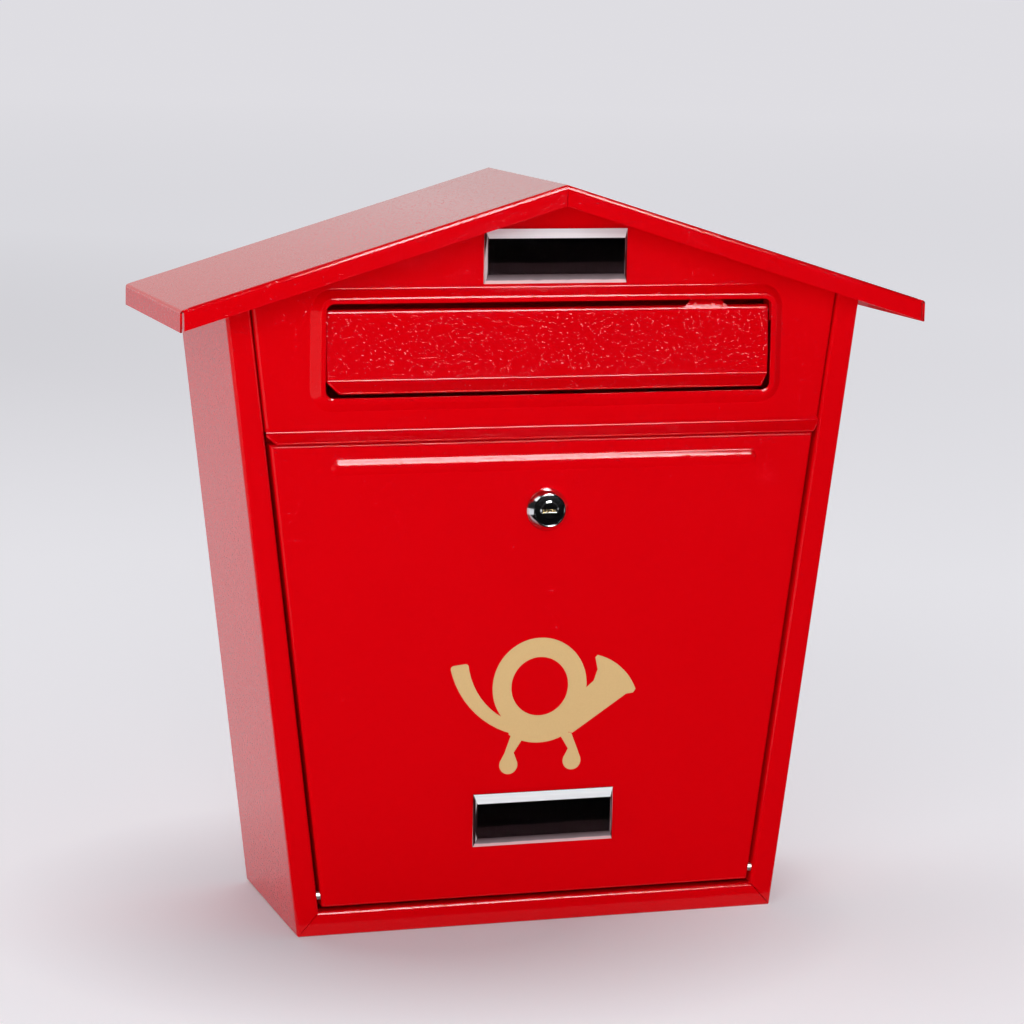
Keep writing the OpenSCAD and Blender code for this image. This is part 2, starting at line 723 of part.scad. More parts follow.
// Door: a pan with its edges turned back, a pressed bead, the lock's hole and the hinge holes
module door_panel() {
    outline = walls_outline(door_low, door_top, frame_w + door_gap);
    color(red) front_view(door_inset) difference() {
        union() {
            difference() {
                pan(outline, [door_bottom_flange, door_flange, door_top_flange, door_flange]);
                translate([0, bead_z, 0]) linear_extrude(far, center = true) stadium(bead_l, bead_w);
            }
            translate([0, bead_z, 0]) bead();
        }
        translate([0, lock_z, 0]) cylinder(r = barrel_r + weld_fit, h = far, center = true);
        translate([0, 0, door_inset]) pin_holes(pin_r + pin_fit);
    }
}

// Slot shape with round ends, of overall length l and width w
module stadium(l, w) {
    square([l - w, w], center = true);
    for (side = [-1, 1]) translate([side * (l - w) / 2, 0]) circle(w / 2);
}

// Pressed bead: a low round back with domed ends, hollow behind, with a flat edge that fuses
module bead() {
    rotate([90, 0, 90]) linear_extrude(bead_l - bead_w, center = true) {
        bead_half();
        mirror([1, 0]) bead_half();
    }
    for (side = [0, 1]) mirror([side, 0, 0])
        translate([(bead_l - bead_w) / 2, 0, 0]) rotate([0, 0, -90])
            rotate_extrude(angle = 180) bead_half();
}

// Half section of the bead: [out from its middle, forward]
module bead_half() {
    r = (bead_w * bead_w / 4 + bead_h * bead_h) / (2 * bead_h);
    intersection() {
        translate([0, bead_h - r]) difference() {
            circle(r, $fn = 96);
            circle(r - sheet_t, $fn = 96);
        }
        translate([0, -sheet_t]) square([bead_w / 2, bead_h + sheet_t]);
    }
    translate([bead_w / 2 - fuse, -sheet_t]) square([2 * fuse, sheet_t]);
}

// Places a lock part: its axis along Z towards the viewer, from the casing's front face
module lock_axis() {
    front_view() translate([0, lock_z, 0]) children();
}

// Bezel and barrel, one turned and bored piece
module lock_housing() {
    face = -door_inset;
    color("#c8ccd0") lock_axis() rotate_extrude() polygon([
        [plug_r + plug_fit, -barrel_back],
        [barrel_r, -barrel_back],
        [barrel_r, face + weld_fit],
        [bezel_r, face + weld_fit],
        [bezel_r, face + bezel_edge],
        [bezel_front_r + bezel_round.x, face + bezel_h - bezel_round.y],
        [bezel_front_r, face + bezel_h],
        [plug_head_r + plug_fit + mouth_chamfer, face + bezel_h],
        [plug_head_r + plug_fit, face + bezel_h - mouth_chamfer],
        [plug_head_r + plug_fit, face + plug_front - plug_head_t - seat_gap],
        [plug_r + plug_fit, face + plug_front - plug_head_t - seat_gap]
    ]);
}

// Hexagon nut that clamps the housing against the back of the door
module lock_nut() {
    back = door_inset + sheet_t + weld_fit;
    color("silver") lock_axis() translate([0, 0, -back - nut_t]) difference() {
        cylinder(r = nut_af / 2 / cos(30), h = nut_t, $fn = 6);
        translate([0, 0, -1]) cylinder(r = barrel_r, h = nut_t + 2);
    }
}

// Plug: round head with a dished key slot, a shank and a square that drives the cam
module lock_plug() {
    face = plug_front - door_inset;
    color("#d8dce0") lock_axis() difference() {
        union() {
            translate([0, 0, face - plug_head_t]) cylinder(r = plug_head_r, h = plug_head_t);
            translate([0, 0, -cam_front + weld_fit]) cylinder(r = plug_r, h = cam_front + face - plug_head_t);
            translate([-drive_w / 2, -drive_w / 2, -cam_front - cam_t]) cube([drive_w, drive_w, cam_t + 1]);
        }
        // Dish round the key slot
        translate([0, 0, face - dish_d]) cylinder(r1 = dish_r - dish_slope, r2 = dish_r, h = dish_d);
        translate([0, 0, face]) cube([key_w, key_h, 2 * key_deep], center = true);
        translate([0, 0, -cam_front - cam_t - 1]) cylinder(r = thread_r, h = screw_l + 1);
    }
}

// Cam: a flat finger with a square hole, at rest pointing to the left
module lock_cam() {
    color("silver") lock_axis() translate([0, 0, -cam_front - cam_t + weld_fit])
        linear_extrude(cam_t - 2 * weld_fit) difference() {
            union() {
                circle(cam_w / 2);
                translate([(cam_round - cam_l) / 2, 0])
                    rounded_rectangle(cam_l + cam_round, cam_w, cam_round);
            }
            square(drive_w + 2 * weld_fit, center = true);
        }
}

// Screw that holds the cam on the plug, with a slotted head
module cam_screw() {
    color("silver") lock_axis() translate([0, 0, -cam_front - cam_t - weld_fit]) difference() {
        union() {
            translate([0, 0, -screw_head_t]) cylinder(r = screw_head_r, h = screw_head_t);
            cylinder(r = thread_r, h = screw_l);
        }
        translate([0, 0, -screw_head_t])
            cube([3 * screw_head_r, screw_slot.x, 2 * screw_slot.y], center = true);
    }
}

// Emblem: a plain horn of a ring, a curved mouthpipe, a flared bell and two tassels
module horn_emblem() {
    color("#d2b878") front_view(door_inset) translate([-horn_left, horn_z, 0]) difference() {
        union() {
            linear_extrude(foil_t) circle(horn_r, $fn = 96);
            linear_extrude(foil_t) horn_belly();
            linear_extrude(foil_t) horn_mouthpipe();
            linear_extrude(foil_t) horn_bell();
            horn_tassel(horn_r * [-0.638, -1.6], -0.442 * horn_r);
            horn_tassel(horn_r * [0.713, -1.575], 0.55 * horn_r);
        }
        cylinder(r = horn_hole_r, h = far, center = true, $fn = 96);
    }
}

// Crescent that thickens the ring underneath
module horn_belly() {
    intersection() {
        circle(horn_r + horn_belly, $fn = 96);
        polygon(horn_r * [[-0.646, -0.917], [-0.479, -2], [0.479, -2], [0.725, -0.992], [0.25, -0.667],
                          [-0.25, -0.667]]);
    }
}

// Mouthpipe: an arc that widens from its root under the ring to its tip
module horn_mouthpipe() {
    middle = horn_r * [-0.029, 0.688];
    tip = 186;
    root = 258;
    inner_r = 1.5 * horn_r;
    root_w = 0.229 * horn_r;
    flare = 0.158 * horn_r;
    steps = 12;
    inner = [for (i = [0 : steps]) let (a = tip + (root - tip) * i / steps)
        middle + inner_r * [cos(a), sin(a)]];
    outer = [for (i = [0 : steps]) let (a = root + (tip - root) * i / steps)
        middle + (inner_r + root_w + flare * pow(i / steps, 1.6)) * [cos(a), sin(a)]];
    polygon([
        each [for (i = [1 : steps]) inner[i]],
        each [for (i = [0 : steps - 1]) outer[i]],
        each corner_arc(outer[steps - 1], outer[steps], inner[0], pipe_round),
        each corner_arc(outer[steps], inner[0], inner[1], pipe_round)
    ]);
}

// Bell: widens to a bowed mouth with a small flare at both ends
module horn_bell() {
    polygon(horn_r * [
        [0, -0.833], [0.717, -1], [1.858, -0.242], [2.008, -0.225],
        each bow([2.058, -0.15], [1.225, 0.592], 0.133),
        [1.179, 0.542], [1.233, 0.292], [1.15, 0.058], [0.983, -0.083], [0.792, -0.333]
    ]);
}

// Tassel: a cord that hangs from the ring at top_x and ends in a round drop
module horn_tassel(drop, top_x) {
    cord = 0.142 * horn_r;
    linear_extrude(foil_t)
        polygon([[top_x - cord, -0.958 * horn_r], drop + horn_r * [-0.083, 0.25],
                 drop + horn_r * [-0.179, 0.067], drop + horn_r * [0.179, 0.067],
                 drop + horn_r * [0.108, 0.25], [top_x + cord, -horn_r]]);
    translate(drop) cylinder(r = tassel_r, h = foil_t);
}

body_shell();
back_panel();
roof();
fascia();
catch_rail();
flap_bracket_left();
flap_bracket_right();
flap_hinge_rod();
rod_ring_left();
rod_ring_right();
door_pin_left();
door_pin_right();
upper_label_cover();
upper_label_card();
flap();
door_panel();
lock_housing();
lock_nut();
lower_label_cover();
lower_label_card();
horn_emblem();
lock_plug();
lock_cam();
cam_screw();
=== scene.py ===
import json
import math

import bmesh
import bpy
from mathutils import Matrix, Quaternion, Vector


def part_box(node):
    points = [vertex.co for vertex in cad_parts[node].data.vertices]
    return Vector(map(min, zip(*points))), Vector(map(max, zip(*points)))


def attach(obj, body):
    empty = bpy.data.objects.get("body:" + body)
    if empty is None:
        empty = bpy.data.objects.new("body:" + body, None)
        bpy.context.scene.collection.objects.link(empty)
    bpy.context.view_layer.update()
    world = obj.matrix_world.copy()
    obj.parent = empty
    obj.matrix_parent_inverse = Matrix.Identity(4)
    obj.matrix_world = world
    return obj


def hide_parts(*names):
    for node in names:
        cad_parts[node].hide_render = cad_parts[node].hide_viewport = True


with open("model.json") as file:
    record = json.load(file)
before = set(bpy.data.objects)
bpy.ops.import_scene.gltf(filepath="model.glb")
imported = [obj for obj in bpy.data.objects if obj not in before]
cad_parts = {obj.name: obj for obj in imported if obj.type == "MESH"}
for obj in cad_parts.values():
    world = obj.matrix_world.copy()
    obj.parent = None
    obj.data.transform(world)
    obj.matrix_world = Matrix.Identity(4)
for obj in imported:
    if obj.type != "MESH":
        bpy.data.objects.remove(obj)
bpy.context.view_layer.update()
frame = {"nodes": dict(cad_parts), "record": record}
mm = 0.001
bodies = frame["record"]["behaviour"]["bodies"]
nodeBody = {node: body for body, nodes in bodies.items() for node in nodes}
print("frame loaded:", len(frame["nodes"]), "nodes")

# Camera at the photo's angle, worked out by fitting the box's straight edges
view = {
    "azimuth": 17.807,  # degrees to the left of straight ahead
    "elevation": 9.304,
    "roll": 1.103,
    "distance": 1642.66 * mm,
    "target": Vector((-17.81, -42.0, 204.33)) * mm,
    "lens": 120.25,
    "sensor": 36,
}


def makeCamera():
    side, up = math.radians(view["azimuth"]), math.radians(view["elevation"])
    away = Vector((-math.sin(side) * math.cos(up), -math.cos(side) * math.cos(up), math.sin(up)))
    data = bpy.data.cameras.new("camera")
    data.lens = view["lens"]
    data.sensor_width = view["sensor"]
    camera = bpy.data.objects.new("camera", data)
    bpy.context.collection.objects.link(camera)
    camera.location = view["target"] + away * view["distance"]
    camera.rotation_mode = "QUATERNION"
    roll = Quaternion((0, 0, 1), math.radians(view["roll"]))
    camera.rotation_quaternion = (-away).to_track_quat("-Z", "Y") @ roll
    bpy.context.scene.camera = camera


makeCamera()
print("camera placed")


class Link:
    # A socket whose arithmetic adds Math nodes
    def __init__(self, shader, socket):
        self.shader = shader
        self.socket = socket

    def maths(self, operation, first, second):
        return self.shader.node("ShaderNodeMath", {"operation": operation}, {0: first, 1: second})

    def __add__(self, other):
        return self.maths("ADD", self, other)

    def __sub__(self, other):
        return self.maths("SUBTRACT", self, other)

    def __rsub__(self, other):
        return self.maths("SUBTRACT", other, self)

    def __mul__(self, other):
        return self.maths("MULTIPLY", self, other)

    __radd__ = __add__
    __rmul__ = __mul__


class Shader:
    # One material's node tree; the constants set its Principled node
    def __init__(self, name, **constants):
        self.material = bpy.data.materials.new(name)
        self.material.use_nodes = True
        self.tree = self.material.node_tree
        self.surface = self.tree.nodes["Principled BSDF"]
        for socket, value in constants.items():
            self.surface.inputs[socket.replace("_", " ")].default_value = value

    def node(self, kind, settings={}, inputs={}, output=0):
        made = self.tree.nodes.new(kind)
        for name, value in settings.items():
            if name == "stops":
                for i, (place, colour) in enumerate(value):
                    stop = made.color_ramp.elements[i] if i < 2 else made.color_ramp.elements.new(place)
                    stop.position = place
                    stop.color = colour
            else:
                setattr(made, name, value)
        for name, value in inputs.items():
            self.join(value, made.inputs[name])
        return Link(self, made.outputs[output])

    def join(self, value, socket):
        if isinstance(value, Link):
            self.tree.links.new(value.socket, socket)
        else:
            socket.default_value = value

    def place(self):
        return self.node("ShaderNodeTexCoord", output="Object")

    def stretched(self, scale):
        return self.node("ShaderNodeMapping", {}, {"Vector": self.place(), "Scale": scale})

    def height(self):
        return self.node("ShaderNodeSeparateXYZ", {}, {"Vector": self.place()}, "Z")

    def distance(self, point):
        settings = {"operation": "DISTANCE"}
        return self.node("ShaderNodeVectorMath", settings, {0: self.place(), 1: point}, "Value")

    def noise(self, scale, detail=2.0, roughness=0.5, vector=None):
        return self.node("ShaderNodeTexNoise", {}, {
            "Vector": vector or self.place(), "Scale": scale, "Detail": detail, "Roughness": roughness,
        })

    def mixed(self, factor, first, second):
        return self.node("ShaderNodeMix", {"data_type": "RGBA"}, {0: factor, 6: first, 7: second}, 2)

    def ramp(self, value, stops):
        return self.node("ShaderNodeValToRGB", {"stops": stops}, {"Fac": value})

    def bump(self, height, distance):
        normal = self.node("ShaderNodeBump", {}, {"Height": height, "Distance": distance, "Strength": 1.0})
        self.join(normal, self.surface.inputs["Normal"])

    def feed(self, socket, value):
        self.join(value, self.surface.inputs[socket])


def grey(value):
    return (value, value, value, 1)


def shaded(colour, share):
    return tuple(share * c for c in colour[:3]) + (1,)


def camel(node):
    first, *rest = node.split("_")
    return first + "".join(word.capitalize() for word in rest)


# Powder coat: one strong red, slightly uneven, with an orange peel that breaks up every highlight.
# Here and below, scales are in waves per metre and roughnessSpread is what the noise adds to roughness.
redPaint = {
    "colour": (0.79, 0.0, 0.0035, 1),
    "deep": (0.75, 0.0, 0.003, 1),
    "cloudScale": 14,
    "peelScale": 760,
    "fineScale": 2600,
    "peelStart": 0.54,  # below this level of the noise the coat has no blobs
    "peelFull": 0.78,
    "peelShare": 0.12,  # of the soft waves between the blobs
    "fineShare": 0.02,
    "peelDepth": 0.062 * mm,
    "roughness": 0.04,
    "roughnessSpread": 0.04,
}


def makeRedPaint():
    k = redPaint
    shader = Shader("redPowderCoat", IOR=1.3)
    peel = shader.noise(k["peelScale"], detail=2.0, roughness=0.55)
    fine = shader.noise(k["fineScale"], detail=2.0, roughness=0.6)
    cloud = shader.noise(k["cloudScale"], detail=3.0)
    shader.feed("Base Color", shader.mixed(cloud, k["deep"], k["colour"]))
    shader.feed("Roughness", k["roughness"] + fine * k["roughnessSpread"])
    blobs = shader.node("ShaderNodeMapRange", {"interpolation_type": "SMOOTHSTEP"},
                        {0: peel, 1: k["peelStart"], 2: k["peelFull"]})
    shader.bump(blobs + peel * k["peelShare"] + fine * k["fineShare"], k["peelDepth"])
    return shader.material


# Bright metals of the lock
lockMetal = {
    "chrome": (0.82, 0.83, 0.85, 1),
    "chromeRoughness": 0.07,
    "brass": (0.62, 0.47, 0.22, 1),
    "brassRoughness": 0.15,
    "grainScale": 900,
    "grainShade": 0.92,
    "roughnessSpread": 0.06,
    "scratchScale": 2600,
    "scratchDepth": 0.002 * mm,
}


def makeBright(name, colour, roughness):
    k = lockMetal
    shader = Shader(name, Metallic=1.0)
    grain = shader.noise(k["grainScale"], detail=3.0)
    shader.feed("Base Color", shader.mixed(grain, colour, shaded(colour, k["grainShade"])))
    shader.feed("Roughness", roughness + grain * k["roughnessSpread"])
    shader.bump(shader.noise(k["scratchScale"]), k["scratchDepth"])
    return shader.material


zincSteel = {
    "light": (0.62, 0.62, 0.59, 1),
    "dull": (0.43, 0.43, 0.42, 1),
    "spangleScale": 420,
    "roughness": 0.3,
    "roughnessSpread": 0.18,
    "grainScale": 1400,
    "grainDepth": 0.006 * mm,
}


def makeZinc():
    k = zincSteel
    shader = Shader("zincSteel", Metallic=0.9)
    scales = {"Vector": shader.place(), "Scale": k["spangleScale"]}
    spangle = shader.node("ShaderNodeTexVoronoi", {}, scales, "Color")
    patch = shader.node("ShaderNodeRGBToBW", {}, {0: spangle})
    shader.feed("Base Color", shader.mixed(patch, k["dull"], k["light"]))
    shader.feed("Roughness", k["roughness"] + patch * k["roughnessSpread"])
    shader.bump(shader.noise(k["grainScale"], detail=3.0), k["grainDepth"])
    return shader.material


clearCover = {
    "tint": (0.93, 0.94, 0.95, 1),
    "roughness": 0.0,
    "roughnessSpread": 0.02,
    "waveScale": 60,
    "waveDepth": 0.02 * mm,
}


def makeClear():
    k = clearCover
    shader = Shader("clearCover", Transmission_Weight=1.0, IOR=1.49, Base_Color=k["tint"])
    wave = shader.noise(k["waveScale"])
    shader.feed("Roughness", k["roughness"] + wave * k["roughnessSpread"])
    shader.bump(wave, k["waveDepth"])
    return shader.material


blackCard = {
    "light": (0.003, 0.002, 0.002, 1),
    "dark": (0.001, 0.0008, 0.0008, 1),
    "pale": (0.018, 0.01, 0.011, 1),
    "paleTop": 0.38,  # share of the card's height
    "paleBlend": 0.03,
    "raggedScale": 40,
    "ragged": 0.06,
    "fibreScale": 1800,
    "fibreDepth": 0.01 * mm,
    "roughness": 0.5,
    "roughnessSpread": 0.2,
}


def makeCard(node):
    # Black card that looks a little paler low down, where light comes in through the cover's edge
    k = blackCard
    shader = Shader(camel(node) + "Black", Specular_IOR_Level=0.0)
    fibre = shader.noise(k["fibreScale"], detail=4.0)
    low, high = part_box(node)
    ragged = shader.noise(k["raggedScale"]) * k["ragged"]
    share = (shader.height() - low[2]) * (1 / (high[2] - low[2])) + ragged
    upper = shader.ramp(share, [(k["paleTop"], grey(0)), (k["paleTop"] + k["paleBlend"], grey(1))])
    black = shader.mixed(fibre, k["dark"], k["light"])
    shader.feed("Base Color", shader.mixed(upper, k["pale"], black))
    shader.feed("Roughness", k["roughness"] + fibre * k["roughnessSpread"])
    shader.bump(fibre, k["fibreDepth"])
    return shader.material


goldFoil = {
    "light": (0.82, 0.56, 0.24, 1),
    "sand": (0.76, 0.50, 0.205, 1),
    "grainScale": 1300,
    "grainDepth": 0.008 * mm,
    "roughness": 0.38,
    "roughnessSpread": 0.15,
}


def makeFoil():
    k = goldFoil
    shader = Shader("goldFoil", Specular_IOR_Level=0.3)
    grain = shader.noise(k["grainScale"], detail=3.0)
    shader.feed("Base Color", shader.mixed(grain, k["sand"], k["light"]))
    shader.feed("Roughness", k["roughness"] + grain * k["roughnessSpread"])
    shader.bump(grain, k["grainDepth"])
    return shader.material


materials = {
    "red_paint": makeRedPaint(),
    "zinc_steel": makeZinc(),
    "chrome": makeBright("polishedChrome", lockMetal["chrome"], lockMetal["chromeRoughness"]),
    "clear_cover": makeClear(),
    "gold_foil": makeFoil(),
}
print("materials made:", len(materials))


def coat(piece, material):
    piece.data.materials.clear()
    piece.data.materials.append(material)


def placed(name, bm, material):
    # Turns a bmesh into an object
    mesh = bpy.data.meshes.new(name)
    bm.to_mesh(mesh)
    bm.free()
    piece = bpy.data.objects.new(name, mesh)
    bpy.context.collection.objects.link(piece)
    coat(piece, material)
    return piece


def finished(name, bm, node, slot):
    # A smooth piece that stands for a CAD node and rides on its body
    piece = placed(name, bm, materials[slot])
    piece.data.shade_smooth()
    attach(piece, nodeBody[node])
    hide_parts(node)
    return piece


def mergedCopy(node, gap, flatAngle):
    # A CAD node is loose triangles: its copy is merged, and what is flat becomes one face
    bm = bmesh.new()
    bm.from_mesh(frame["nodes"][node].data)
    bmesh.ops.remove_doubles(bm, verts=bm.verts, dist=gap)
    bmesh.ops.dissolve_limit(bm, angle_limit=math.radians(flatAngle), verts=bm.verts, edges=bm.edges)
    return bm


def roundEdges(bm, sharper, longer, radius, segments):
    # Rounds the edges that turn by more than an angle and are longer than a length
    edges = [e for e in bm.edges if len(e.link_faces) == 2 and e.calc_length() > longer
             and e.calc_face_angle() > math.radians(sharper)]
    bmesh.ops.connect_verts_concave(bm, faces=bm.faces)
    bmesh.ops.bevel(bm, geom=edges, offset=radius, offset_type="OFFSET", segments=segments,
                    profile=0.5, affect="EDGES", material=-1, clamp_overlap=False)


# Folded and painted sheets: the CAD sheet with its cut edges rounded by the coat
sheets = {
    "nodes": ["body_shell", "back_panel", "roof", "fascia", "catch_rail", "flap_bracket_left",
              "flap_bracket_right", "flap", "door_panel"],
    "mergeGap": 0.03 * mm,
    "flatAngle": 0.3,  # degrees
    "sharper": 42,
    "longer": 1.5 * mm,
    "edgeRadius": 0.12 * mm,
    "normalWeight": 60,
}


def paintedSheet(node):
    k = sheets
    bm = mergedCopy(node, k["mergeGap"], k["flatAngle"])
    roundEdges(bm, k["sharper"], k["longer"], k["edgeRadius"], segments=2)
    piece = finished(camel(node) + "Sheet", bm, node, "red_paint")
    modifier = piece.modifiers.new("evenNormals", "WEIGHTED_NORMAL")
    modifier.keep_sharp = False
    modifier.weight = k["normalWeight"]


for node in sheets["nodes"]:
    paintedSheet(node)
print("painted sheets made:", len(sheets["nodes"]))


def turned(name, node, slot, profile, place, axis, steps):
    # A lathe-turned piece: profile is [radius, height along the axis] in millimetres, from the axis round
    bm = bmesh.new()
    verts = [bm.verts.new((r * mm, 0, h * mm)) for r, h in profile]
    edges = [bm.edges.new((verts[i], verts[i + 1])) for i in range(len(verts) - 1)]
    bored = profile[0][0] > 0
    if bored:
        edges.append(bm.edges.new((verts[-1], verts[0])))
    bmesh.ops.spin(bm, geom=verts + edges, cent=(0, 0, 0), axis=(0, 0, 1), angle=2 * math.pi, steps=steps,
                   use_merge=True)
    bmesh.ops.remove_doubles(bm, verts=bm.verts, dist=0.001 * mm)
    bmesh.ops.recalc_face_normals(bm, faces=bm.faces)
    turn = Vector((0, 0, 1)).rotation_difference(Vector(axis)).to_matrix().to_4x4()
    bmesh.ops.transform(bm, matrix=Matrix.Translation(place) @ turn, verts=bm.verts)
    piece = finished(name, bm, node, slot)
    piece.data.set_sharp_from_angle(angle=math.radians(28))


def boxOf(node):
    low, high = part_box(node)
    return low, high, (low + high) / 2


# Round zinc parts along X, in millimetres: the hinge rod, its rings and the two hinge pins
rods = {"chamfer": 0.25, "pinHead": 1.2, "pinShank": 2.0, "ringBore": 1.5, "steps": 48}


def makeRod(node, bore=0):
    low, high, middle = boxOf(node)
    r, half, c = (high.z - low.z) / 2 / mm, (high.x - low.x) / 2 / mm, rods["chamfer"]
    turned(camel(node), node, "zinc_steel",
           [(bore, -half), (r - c, -half), (r, -half + c), (r, half - c), (r - c, half), (bore, half)],
           middle, (1, 0, 0), rods["steps"])


def makePin(node, outward):
    low, high, middle = boxOf(node)
    r, length = (high.z - low.z) / 2 / mm, (high.x - low.x) / mm
    head, shank, c = rods["pinHead"], rods["pinShank"], rods["chamfer"]
    start = Vector((low.x if outward > 0 else high.x, middle.y, middle.z))
    turned(camel(node), node, "zinc_steel",
           [(0, 0), (shank - c, 0), (shank, c), (shank, length - head), (r - c, length - head),
            (r, length - head + c), (r, length - c), (r - c, length), (0, length)],
           start, (outward, 0, 0), rods["steps"])


makeRod("flap_hinge_rod")
makeRod("rod_ring_left", rods["ringBore"])
makeRod("rod_ring_right", rods["ringBore"])
makePin("door_pin_left", -1)
makePin("door_pin_right", 1)
print("rods and pins turned")

# Lock bezel, in millimetres: heights are in front of the door's face, radii from the lock's axis
bezel = {
    "radius": 10.5,
    "stand": 0.05,  # gap between its back and the door
    "sideHeight": 1.2,
    "frontRadius": 8.1,
    "height": 4.6,
    "rim": 4.35,
    "round": 0.1,
    "barrel": 8.0,
    "fit": 0.06,
    "mouth": 0.08,
    "behindHead": 0.1,
    "steps": 128,
}
# Lock plug: the CAD's dish round the key slot becomes a low boss, to catch the light as the real one does
plug = {
    "headRadius": 7.4,
    "headFront": 4.1,
    "headThick": 2.0,
    "shank": 5.1,
    "dishDepths": (0.05, 0.9),  # the dish's floor lies between these, behind the plug's face
    "dishRadius": 6.0,
    "boss": 0.3,
    "edge": 0.06,
    "sharper": 30,  # degrees
    "longer": 0.3,
}
# Wafers that show in the key slot: their middles across and up, from the lock's axis
wafers = {
    "middles": [(-2.6, -0.25), (-1.2, 0.1), (0.3, -0.2), (1.7, -0.35), (2.8, 0.05)],
    "width": 0.7,
    "thick": 0.6,
    "tall": 1.2,
    "depth": 0.9,
    "edge": 0.12,
}


def lockPlace():
    # Where the lock's axis meets the door's face
    low, _, middle = boxOf("lock_housing")
    return Vector((middle.x, low.y + bezel["height"] * mm, middle.z))


def softened(profile, radius, steps=3):
    # Rounds the corners of an open profile
    path = [profile[0]]
    for before, corner, after in zip(profile, profile[1:], profile[2:]):
        before, corner, after = Vector(before), Vector(corner), Vector(after)
        reach = min(radius, 0.45 * (before - corner).length, 0.45 * (after - corner).length)
        start = corner + (before - corner).normalized() * reach
        end = corner + (after - corner).normalized() * reach
        for i in range(steps + 1):
            t = i / steps
            path.append(tuple((1 - t) ** 2 * start + 2 * t * (1 - t) * corner + t ** 2 * end))
    path.append(profile[-1])
    return path


def makeBezel():
    k, place = bezel, lockPlace()
    back = (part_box("lock_housing")[1].y - place.y) / mm
    bore, inner = plug["shank"] + k["fit"], plug["headRadius"] + k["fit"]
    seat = plug["headFront"] - plug["headThick"] - k["behindHead"]
    outside = softened([(k["barrel"], k["stand"]), (k["radius"], k["stand"]), (k["radius"], k["sideHeight"]),
                        (k["frontRadius"], k["rim"]), (inner + k["mouth"], k["rim"]),
                        (inner, k["rim"] - k["mouth"]), (inner, seat)], k["round"])
    turned("lockBezel", "lock_housing", "chrome",
           [(bore, -back), (k["barrel"], -back)] + outside + [(bore, seat)], place, (0, -1, 0), k["steps"])


def makePlug():
    k, place = plug, lockPlace()
    bm = mergedCopy("lock_plug", 0.004 * mm, 0.5)
    face = place.y - k["headFront"] * mm
    shallow, deep = k["dishDepths"]
    for v in bm.verts:
        sunk, radius = v.co.y - face, math.hypot(v.co.x - place.x, v.co.z - place.z)
        if shallow * mm < sunk < deep * mm and radius < k["dishRadius"] * mm:
            v.co.y = face - k["boss"] * mm
    bm.normal_update()
    roundEdges(bm, k["sharper"], k["longer"] * mm, k["edge"] * mm, segments=3)
    piece = finished("lockPlug", bm, "lock_plug", "chrome")
    piece.data.set_sharp_from_angle(angle=math.radians(k["sharper"]))


def makeWafers():
    k, place = wafers, lockPlace()
    bm = bmesh.new()
    for x, z in k["middles"]:
        made = bmesh.ops.create_cube(bm, size=1)["verts"]
        bmesh.ops.scale(bm, vec=(k["width"] * mm, k["thick"] * mm, k["tall"] * mm), verts=made)
        middle = Vector((x * mm, -(plug["headFront"] - k["depth"]) * mm, z * mm)) + place
        bmesh.ops.translate(bm, vec=middle, verts=made)
    bmesh.ops.bevel(bm, geom=bm.edges[:], offset=k["edge"] * mm, segments=2, profile=0.5,
                    affect="EDGES", material=-1)
    piece = placed("keyWafers", bm, makeBright("brass", lockMetal["brass"], lockMetal["brassRoughness"]))
    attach(piece, nodeBody["lock_plug"])


makeBezel()
makePlug()
makeWafers()
print("lock made")

# Label windows: a clear moulded cover, with a painted reflection on its upper slope and painted light on its
# cut edges
windows = {
    # Painted reflection on the upper slope: a pale colour, with dimmer streaks, that stands for the lamps it
    # mirrors
    "sheen": (0.95, 0.98, 0.99, 1),
    "sheenDim": (0.74, 0.77, 0.79, 1),
    "sheenScale": 90,
    "sheenStretch": (0.15, 1, 6),
    "sheenDepth": 0.02 * mm,
    # Painted light up the lower edge, as shares of its slope: a pale pink painted glow at the cut edge,
    # painted dim shade above it
    "paintedEdgeStops": [(0.0, (0.9, 0.62, 0.62, 1)), (0.32, (0.85, 0.55, 0.56, 1)),
                 (0.42, (0.26, 0.21, 0.22, 1)), (0.95, (0.1, 0.07, 0.075, 1))],
    "slope": 4.4 * mm,
    "raggedScale": 160,
    "ragged": 0.16,
    # Painted highlights: pale upright streaks on the dark clear ends
    "end": (0.03, 0.012, 0.014, 1),
    "endHighlight": (0.8, 0.72, 0.73, 1),
    "endAlpha": 0.75,
    "endScale": 900,
    "endStretch": (1, 1, 0.04),
    "endLines": (0.54, 0.6),
    "sharpAngle": 10,
}


# A painted reflection: the upper slope's pale colour stands in for mirrored lamp light
def makePaintedSheen():
    k = windows
    shader = Shader("paintedSheen", IOR=1.4, Roughness=0.38, Specular_IOR_Level=0.2)
    streak = shader.noise(k["sheenScale"], vector=shader.stretched(k["sheenStretch"]))
    shader.feed("Base Color", shader.mixed(streak, k["sheenDim"], k["sheen"]))
    shader.bump(streak, k["sheenDepth"])
    return shader.material


def makePaintedEdgeLight(name, bottom):
    # Painted light: a pale glow painted at the bottom cut edge of a cover, with painted dim shade above it
    k = windows
    shader = Shader(name, IOR=1.3, Roughness=0.25)
    ragged = shader.noise(k["raggedScale"]) * k["ragged"] - k["ragged"] / 2
    share = (shader.height() - bottom) * (1 / k["slope"]) + ragged
    shader.feed("Base Color", shader.ramp(share, k["paintedEdgeStops"]))
    return shader.material


